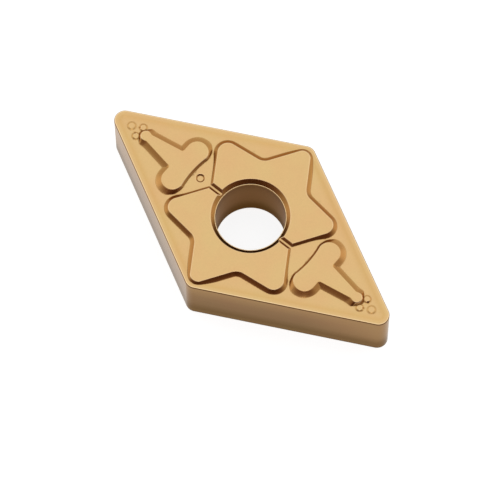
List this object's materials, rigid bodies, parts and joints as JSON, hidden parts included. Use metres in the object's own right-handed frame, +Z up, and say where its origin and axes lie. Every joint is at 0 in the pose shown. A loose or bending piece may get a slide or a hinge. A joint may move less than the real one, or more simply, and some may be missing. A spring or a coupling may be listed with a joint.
{
  "type": "rhombic carbide insert",
  "caption": "Double-sided rhombic cutting insert with rounded noses, raised seating islands, a chip-breaking groove and a countersunk clamping hole.",
  "frame": {"origin": "centre of the hole on the lower seating face", "axes": "+Z up along the hole, +X along the long diagonal to an acute nose, +Y along the short diagonal to an obtuse corner; the round corner mark is on the upper face near the -X nose"},
  "size_m": [0.0256, 0.0142, 0.0051],
  "materials": {
    "coated_carbide": "satin gold-tan hard coating on sintered carbide"
  },
  "bodies": {
    "root": {"insert_body": "coated_carbide"}
  },
  "joints": []
}
